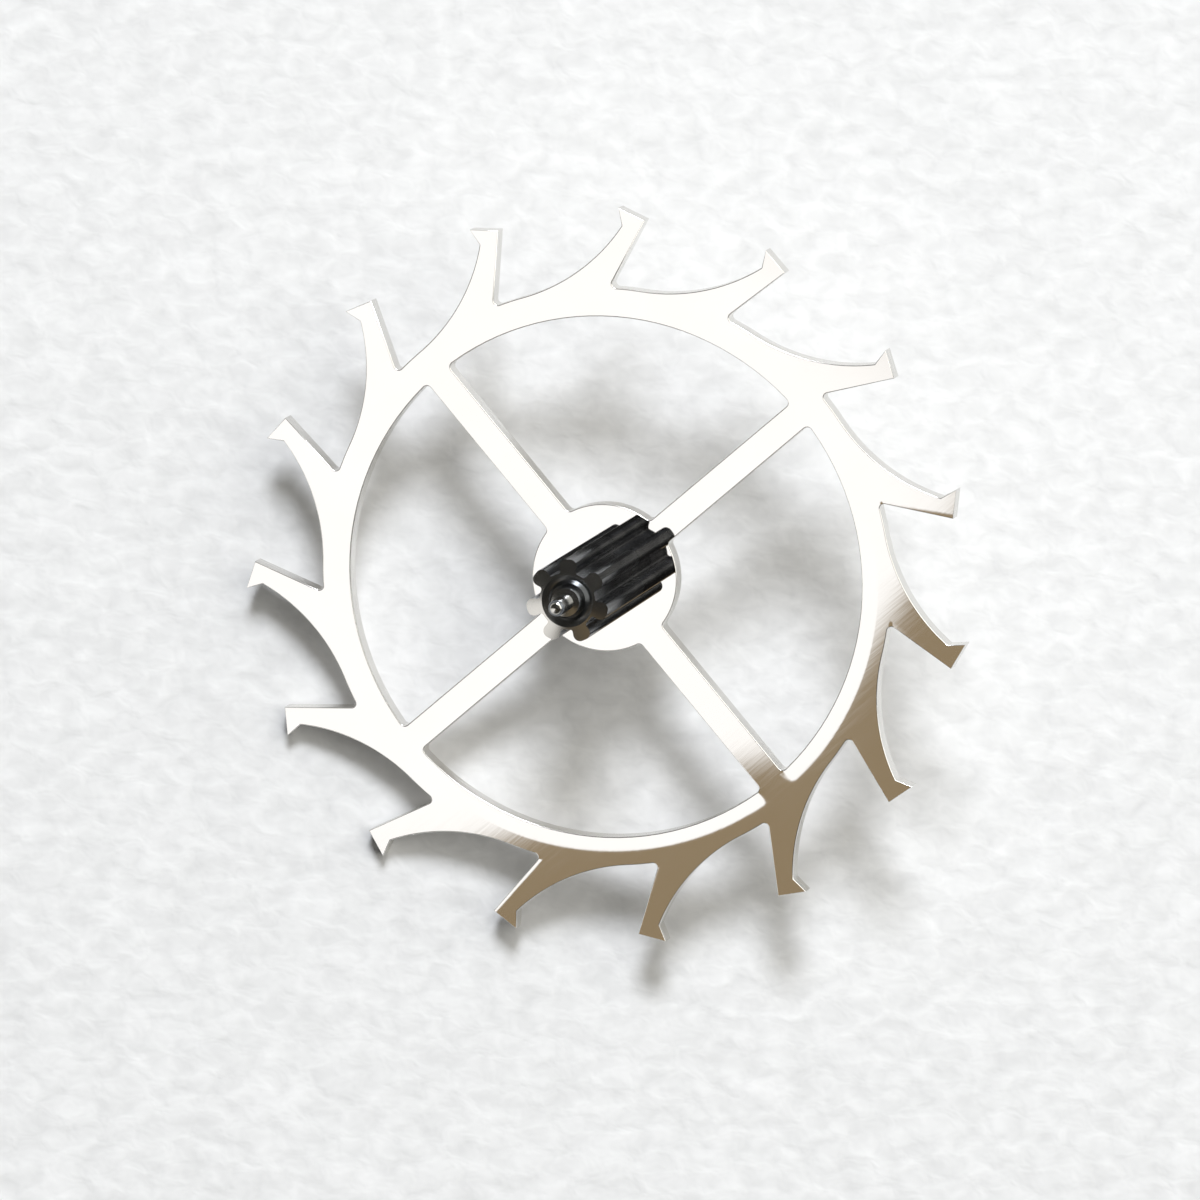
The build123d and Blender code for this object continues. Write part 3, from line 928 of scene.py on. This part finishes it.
def pulp_paper():
    """White pulp paper: soft fibre bumps and a very faint change of tone."""
    material, tree, in_mm = new_material("white_pulp_paper")
    turn = (0, 0, -atan2(frame_right.y, frame_right.x))
    turned = add_node(tree, "ShaderNodeMapping", {"Vector": in_mm, "Rotation": turn})
    fibres = add_node(tree, "ShaderNodeMapping", {"Vector": turned, "Scale": FIBRES_PER_MM})
    soft = {"Scale": 1.0, "Detail": 2.0, "Roughness": 0.45, "Distortion": 0.3}
    pulp = add_node(tree, "ShaderNodeTexNoise", {"Vector": fibres} | soft)
    wide = {"Scale": PAPER_CLOUDS_PER_MM, "Detail": 2.0}
    cloud = add_node(tree, "ShaderNodeTexNoise", {"Vector": turned} | wide)
    fibre_tones = {"Factor": pulp, "A": FIBRE_SHADE, "B": FIBRE_WHITE}
    mottled = add_node(tree, "ShaderNodeMix", fibre_tones, data_type="RGBA")
    cloud_tones = {"Factor": cloud, "A": CLOUD_SHADE, "B": CLOUD_WHITE}
    clouded = add_node(tree, "ShaderNodeMix", cloud_tones, data_type="RGBA")
    both = {"Factor": CLOUD_SHARE, "A": mottled, "B": clouded}
    tone = add_node(tree, "ShaderNodeMix", both, data_type="RGBA")
    bump = add_node(tree, "ShaderNodeBump", {"Height": pulp, "Distance": FIBRE_HEIGHT * MILLIMETRE})
    sheet = {"Base Color": tone, "Roughness": 0.85, "Specular IOR Level": 0.2, "Normal": bump}
    surface = add_node(tree, "ShaderNodeBsdfPrincipled", sheet)
    add_node(tree, "ShaderNodeOutputMaterial", {"Surface": surface})
    return material


rise = Vector((cos(PAPER_RISES_TOWARDS), sin(PAPER_RISES_TOWARDS), tan(PAPER_SLOPE))) * PAPER_SIDE / 2
along = Vector((-sin(PAPER_RISES_TOWARDS), cos(PAPER_RISES_TOWARDS), 0)) * PAPER_SIDE / 2
pivot_tip = Vector((0, 0, -PIVOT_LENGTH))
corners = [pivot_tip + rise * a + along * b for a, b in ((-1, -1), (1, -1), (1, 1), (-1, 1))]
sheet_mesh = bpy.data.meshes.new("paper_sheet")
sheet_mesh.from_pydata([corner * MILLIMETRE for corner in corners], [], [(0, 1, 2, 3)])
sheet_mesh.materials.append(pulp_paper())
paper = bpy.data.objects.new("paper_sheet", sheet_mesh)
bpy.context.scene.collection.objects.link(paper)
print("paper faces up:", sheet_mesh.polygons[0].normal.z > 0)

# %% [markdown]
# ## Light
# Two round soft boxes light the paper. The small one hangs high above the camera and draws the shadows
# under the left teeth and the hub. The large one stands on the right, so wide that the shadows that it
# draws have no edge. What the steel shows is another matter: a mirror is as bright as the thing that it
# reflects. So the room that the steel sees is painted apart from the lamps, patch by patch:
# - a white card where the flat wheel looks, because most of its face is white in the photograph;
# - a brownish gap beside that card, which the lower right of the wheel shows;
# - a dark patch round the camera, which the pinion shows, and a second card for its leaf ends;
# - a pale room further down, which the walls show from the side.
# The border between card and gap is found from the wheel itself: two straight borders, each through two
# points of the wheel where the reflection turns from white to brown.

# %% The border between card and gap, found on the wheel
BORDER_TOP = (962, 500)
BORDER_BEND = (806, 741)
BORDER_END = (505, 832)


def on_wheel(x, y):
    """Point of the wheel's upper face, in millimetres, that lies at a place in the photograph's frame."""
    sight = (x - FRAME_SIDE / 2) * frame_right + (FRAME_SIDE / 2 - y) * frame_up
    sight -= PIXELS_PER_RADIAN * to_camera
    met = camera_place + sight * ((WHEEL_TOP - camera_place.z) / sight.z)
    return (met.x, met.y)


def seen_in_wheel(x, y):
    """Direction that the camera sees mirrored at a point of the wheel's upper face."""
    sight = (Vector((x, y, WHEEL_TOP)) - camera_place).normalized()
    return Vector((sight.x, sight.y, -sight.z))


def border_through(first, second):
    """Normal of the border through two mirrored points, pointing to the dim side."""
    normal = seen_in_wheel(*first).cross(seen_in_wheel(*second)).normalized()
    return normal if normal.dot(seen_in_wheel(0, 0)) < 0 else -normal


right_border = border_through(on_wheel(*BORDER_TOP), on_wheel(*BORDER_BEND))
lower_border = border_through(on_wheel(*BORDER_BEND), on_wheel(*BORDER_END))
print("borders of the dim side", [round(v, 3) for v in right_border], [round(v, 3) for v in lower_border])

# %% Patches of the room that the steel sees
CARD_LEANS = radians(7.5)
CARD_REACH = radians(9.5)
CARD_SOFTNESS = radians(2)
SIDE_CARD_LEANS = radians(44)
SIDE_CARD_REACH = radians(15)
SIDE_CARD_SOFTNESS = radians(5)
GAP_LEANS = radians(9)
GAP_REACH = radians(13)
GAP_SOFTNESS = radians(6)
CAMERA_SHADE_REACH = radians(28.5)
CAMERA_SHADE_SOFTNESS = radians(5)
OVERHEAD_REACH = radians(58)
OVERHEAD_SOFTNESS = radians(16)
BORDER_BEND_ROUNDING = 0.003
BORDER_DIM_FROM = 0.0019
BORDER_LIT_FROM = -0.0012

world = bpy.data.worlds.new("studio")
bpy.context.scene.world = world
world.use_nodes = True
room = world.node_tree
room.nodes.clear()
direction = add_node(room, "ShaderNodeTexCoord").outputs["Generated"]


def round_patch(middle, reach, softness):
    """Mask of a round patch of the room: one inside the reach, nothing beyond it."""
    aim = {0: direction, 1: middle}
    near = add_node(room, "ShaderNodeVectorMath", aim, operation="DOT_PRODUCT").outputs["Value"]
    edge = {"Value": near, "From Min": cos(reach + softness / 2), "From Max": cos(reach - softness / 2)}
    return add_node(room, "ShaderNodeMapRange", edge, interpolation_type="SMOOTHSTEP")


wheel_mirrors = seen_in_wheel(0, 0)
card_middle = (cos(CARD_LEANS) * wheel_mirrors - sin(CARD_LEANS) * raised).normalized()
side_card_middle = (cos(SIDE_CARD_LEANS) * arbor - sin(SIDE_CARD_LEANS) * raised).normalized()
gap_side = (right_border + lower_border).normalized()
gap_middle = (cos(GAP_LEANS) * wheel_mirrors + sin(GAP_LEANS) * gap_side).normalized()
gap = round_patch(gap_middle, GAP_REACH, GAP_SOFTNESS)
side_card = round_patch(side_card_middle, SIDE_CARD_REACH, SIDE_CARD_SOFTNESS)
camera_shade = round_patch(to_camera, CAMERA_SHADE_REACH, CAMERA_SHADE_SOFTNESS)
overhead = round_patch(arbor, OVERHEAD_REACH, OVERHEAD_SOFTNESS)

borders = [{0: direction, 1: border} for border in (right_border, lower_border)]
sides = [add_node(room, "ShaderNodeVectorMath", border, operation="DOT_PRODUCT") for border in borders]
bend = {0: sides[0].outputs["Value"], 1: sides[1].outputs["Value"], 2: BORDER_BEND_ROUNDING}
past = add_node(room, "ShaderNodeMath", bend, operation="SMOOTH_MAX")
turn_to_lit = {"Value": past, "From Min": BORDER_DIM_FROM, "From Max": BORDER_LIT_FROM}
lit_side = add_node(room, "ShaderNodeMapRange", turn_to_lit, interpolation_type="SMOOTHSTEP")
whole_card = round_patch(card_middle, CARD_REACH, CARD_SOFTNESS)
card = add_node(room, "ShaderNodeMath", {0: whole_card, 1: lit_side}, operation="MULTIPLY")
print("room with", len(room.nodes), "nodes for its patches")

# %% World: the painted room for the steel, and an even tent for all the rest
TENT_LEVEL = 0.02
TENT_TINT = (1.0, 1.0, 0.85)
CARD_LEVEL = 1.2
tent = [TENT_LEVEL * part for part in TENT_TINT] + [1.0]
card_white = [CARD_LEVEL, CARD_LEVEL, CARD_LEVEL, 1.0]
gap_brown = hex_colour("97866B")
camera_black = hex_colour("1C1B1A")
room_grey = hex_colour("D8D8D6")

# each patch is painted over the ones before it
patches = [(side_card, card_white), (gap, gap_brown), (camera_shade, camera_black), (card, card_white)]
painted = tent
for patch, paint in patches:
    painted = add_node(room, "ShaderNodeMix", {"Factor": patch, "A": painted, "B": paint}, data_type="RGBA")
around = {"Factor": overhead, "A": room_grey, "B": painted}
seen_in_metal = add_node(room, "ShaderNodeMix", around, data_type="RGBA")
ray = add_node(room, "ShaderNodeLightPath").outputs
by_ray = {"Factor": ray["Is Glossy Ray"], "A": tent, "B": seen_in_metal}
lighting_colour = add_node(room, "ShaderNodeMix", by_ray, data_type="RGBA")
lighting_room = add_node(room, "ShaderNodeBackground", {"Color": lighting_colour, "Strength": 1.0})
backdrop = add_node(room, "ShaderNodeBackground", {"Color": hex_colour(BACKDROP_WHITE), "Strength": 1.0})
either = add_node(room, "ShaderNodeMixShader", {0: ray["Is Camera Ray"], 1: lighting_room, 2: backdrop})
add_node(room, "ShaderNodeOutputWorld", {"Surface": either})
print("world with", len(room.nodes), "nodes")

# %% The two soft boxes
def hang_soft_box(name, to_right, upward, half_angle, distance, level, tint):
    """A round soft box, so many degrees away from the camera, to the right and up in the frame."""
    lean = radians(sqrt(to_right**2 + upward**2))
    side = (to_right * frame_right + upward * frame_up).normalized()
    towards = cos(lean) * to_camera + sin(lean) * side
    radius = distance * tan(radians(half_angle)) * MILLIMETRE
    radiance = level / (sin(radians(half_angle)) ** 2 * cos(lean))
    data = bpy.data.lights.new(name, "AREA")
    data.shape = "DISK"
    data.size = 2 * radius
    data.color = tint
    data.energy = radiance * pi * pi * radius**2
    box = bpy.data.objects.new(name, data)
    box.location = (wheel_centre + distance * towards) * MILLIMETRE
    box.rotation_mode = "QUATERNION"
    box.rotation_quaternion = towards.to_track_quat("Z", "Y")
    bpy.context.scene.collection.objects.link(box)
    print(name, "across", round(2 * radius / MILLIMETRE, 1), "mm,", round(data.energy, 4), "W")


small_box = {"to_right": 2, "upward": 41, "half_angle": 9, "distance": 220.0}
large_box = {"to_right": 35, "upward": 21, "half_angle": 35, "distance": 115.0}
hang_soft_box("small_soft_box", **small_box, level=0.565, tint=(0.915, 0.945, 1.0))
hang_soft_box("large_soft_box", **large_box, level=0.495, tint=(1.0, 0.985, 0.925))

# %% [markdown]
# ## Hand over
# Each piece rides on the one body of the part and stands for its CAD node, which is hidden.

for piece, node, slot in ((wheel, "escape_wheel", "wheel_steel"), (pinion, "escape_pinion", "pinion_steel")):
    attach(piece, "root")
    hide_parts(node)
bpy.context.scene.view_settings.view_transform = "Standard"
